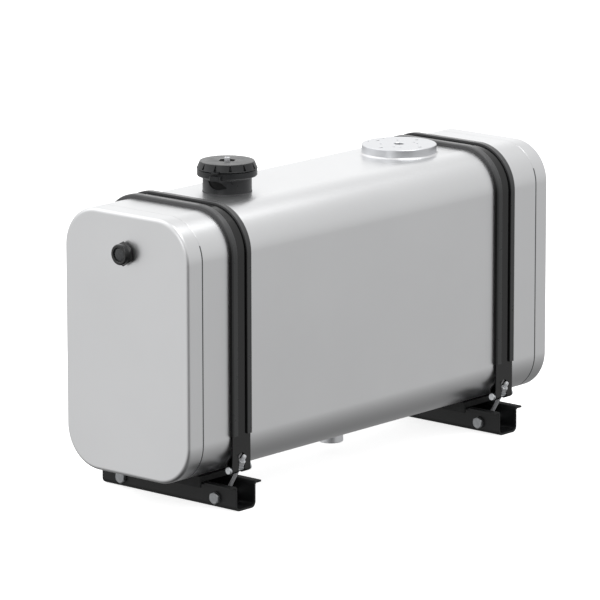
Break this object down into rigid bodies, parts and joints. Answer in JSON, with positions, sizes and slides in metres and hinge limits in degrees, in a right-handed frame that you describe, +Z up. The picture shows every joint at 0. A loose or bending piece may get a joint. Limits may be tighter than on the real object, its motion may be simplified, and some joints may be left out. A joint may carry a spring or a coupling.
{
  "type": "hydraulic reservoir",
  "caption": "Box-shaped aluminium hydraulic oil tank with rounded corners, filler cap, return flange, suction boss and sight glass, held by rubber-lined straps on hat-section channels.",
  "frame": {"origin": "middle of the overall footprint, on the underside of the mounting channels", "axes": "+X along the tank from the sight-glass end to the return-flange end, -Y the front with the visible tension rods, +Z up"},
  "size_m": [1.086, 0.3452, 0.6334],
  "materials": {
    "tank_aluminium": "satin rolled sheet",
    "inner_aluminium": "mill finish",
    "machined_aluminium": "turned",
    "black_steel": "satin black powder coat",
    "black_rubber": "extruded rubber",
    "black_plastic": "moulded satin",
    "strainer_plastic": "moulded",
    "filter_foam": "open-cell foam",
    "sight_glass": "clear",
    "white_reflector": "matt",
    "zinc_steel": "zinc plated"
  },
  "bodies": {
    "root": {"baffles": "inner_aluminium", "cross_bolt_nuts": "zinc_steel", "cross_bolt_washers": "zinc_steel", "far_channel": "black_steel", "far_end_cap": "tank_aluminium", "far_front_cross_bolt": "zinc_steel", "far_front_pin": "zinc_steel", "far_front_rod": "zinc_steel", "far_liner": "black_rubber", "far_pad": "black_rubber", "far_rear_cross_bolt": "zinc_steel", "far_rear_pin": "zinc_steel", "far_rear_rod": "zinc_steel", "far_strap": "black_steel", "filler_neck": "black_plastic", "filler_ring": "inner_aluminium", "flat_sheets": "tank_aluminium", "front_wrapper": "tank_aluminium", "near_channel": "black_steel", "near_end_cap": "tank_aluminium", "near_front_cross_bolt": "zinc_steel", "near_front_pin": "zinc_steel", "near_front_rod": "zinc_steel", "near_liner": "black_rubber", "near_pad": "black_rubber", "near_rear_cross_bolt": "zinc_steel", "near_rear_pin": "zinc_steel", "near_rear_rod": "zinc_steel", "near_strap": "black_steel", "neck_gasket": "black_rubber", "neck_screws": "zinc_steel", "rear_wrapper": "tank_aluminium", "return_flange": "machined_aluminium", "return_weld": "machined_aluminium", "sight_body": "black_plastic", "sight_lens": "sight_glass", "sight_reflector": "white_reflector", "sight_seal": "black_rubber", "sight_socket": "inner_aluminium", "spacer_sleeves": "zinc_steel", "strainer_basket": "strainer_plastic", "suction_boss": "machined_aluminium"},
    "cap_seat": {"cap_gasket": "black_rubber"},
    "cap": {"filler_cap": "black_plastic", "breather_element": "filter_foam", "latch_plate": "zinc_steel", "cap_screw": "zinc_steel", "cap_nut": "zinc_steel"},
    "near_front_nut_seat": {"near_front_washer": "zinc_steel"},
    "near_front_nuts": {"near_front_tension_nut": "zinc_steel", "near_front_lock_nut": "zinc_steel"},
    "near_rear_nut_seat": {"near_rear_washer": "zinc_steel"},
    "near_rear_nuts": {"near_rear_tension_nut": "zinc_steel", "near_rear_lock_nut": "zinc_steel"},
    "far_front_nut_seat": {"far_front_washer": "zinc_steel"},
    "far_front_nuts": {"far_front_tension_nut": "zinc_steel", "far_front_lock_nut": "zinc_steel"},
    "far_rear_nut_seat": {"far_rear_washer": "zinc_steel"},
    "far_rear_nuts": {"far_rear_tension_nut": "zinc_steel", "far_rear_lock_nut": "zinc_steel"}
  },
  "joints": [
    {"name": "cap_lift", "type": "slide", "parent": "root", "child": "cap_seat", "axis": [0, 0, 1], "range_m": [0, 0.12]},
    {"name": "cap_turn", "type": "hinge", "parent": "cap_seat", "child": "cap", "pos_m": [-0.239, 0, 0.612], "axis": [0, 0, 1], "range_deg": [-60, 0]},
    {"name": "near_front_nut_travel", "type": "slide", "parent": "root", "child": "near_front_nut_seat", "axis": [0, -0.4972, 0.8676], "range_m": [0, 0.01]},
    {"name": "near_front_nut_turn", "type": "hinge", "parent": "near_front_nut_seat", "child": "near_front_nuts", "pos_m": [-0.382, -0.15644, 0.08184], "axis": [0, -0.4972, 0.8676], "range_deg": [0, 2880.5]},
    {"name": "near_rear_nut_travel", "type": "slide", "parent": "root", "child": "near_rear_nut_seat", "axis": [0, 0.4972, 0.8676], "range_m": [0, 0.01]},
    {"name": "near_rear_nut_turn", "type": "hinge", "parent": "near_rear_nut_seat", "child": "near_rear_nuts", "pos_m": [-0.382, 0.15644, 0.08184], "axis": [0, 0.4972, 0.8676], "range_deg": [0, 2880.5]},
    {"name": "far_front_nut_travel", "type": "slide", "parent": "root", "child": "far_front_nut_seat", "axis": [0, -0.4972, 0.8676], "range_m": [0, 0.01]},
    {"name": "far_front_nut_turn", "type": "hinge", "parent": "far_front_nut_seat", "child": "far_front_nuts", "pos_m": [0.402, -0.15644, 0.08184], "axis": [0, -0.4972, 0.8676], "range_deg": [0, 2880.5]},
    {"name": "far_rear_nut_travel", "type": "slide", "parent": "root", "child": "far_rear_nut_seat", "axis": [0, 0.4972, 0.8676], "range_m": [0, 0.01]},
    {"name": "far_rear_nut_turn", "type": "hinge", "parent": "far_rear_nut_seat", "child": "far_rear_nuts", "pos_m": [0.402, 0.15644, 0.08184], "axis": [0, 0.4972, 0.8676], "range_deg": [0, 2880.5]}
  ],
  "couplings": [
    {"joint": "near_front_nut_turn", "follows": "near_front_nut_travel", "rad_per_m": 5026.5},
    {"joint": "near_rear_nut_turn", "follows": "near_rear_nut_travel", "rad_per_m": 5026.5},
    {"joint": "far_front_nut_turn", "follows": "far_front_nut_travel", "rad_per_m": 5026.5},
    {"joint": "far_rear_nut_turn", "follows": "far_rear_nut_travel", "rad_per_m": 5026.5}
  ]
}
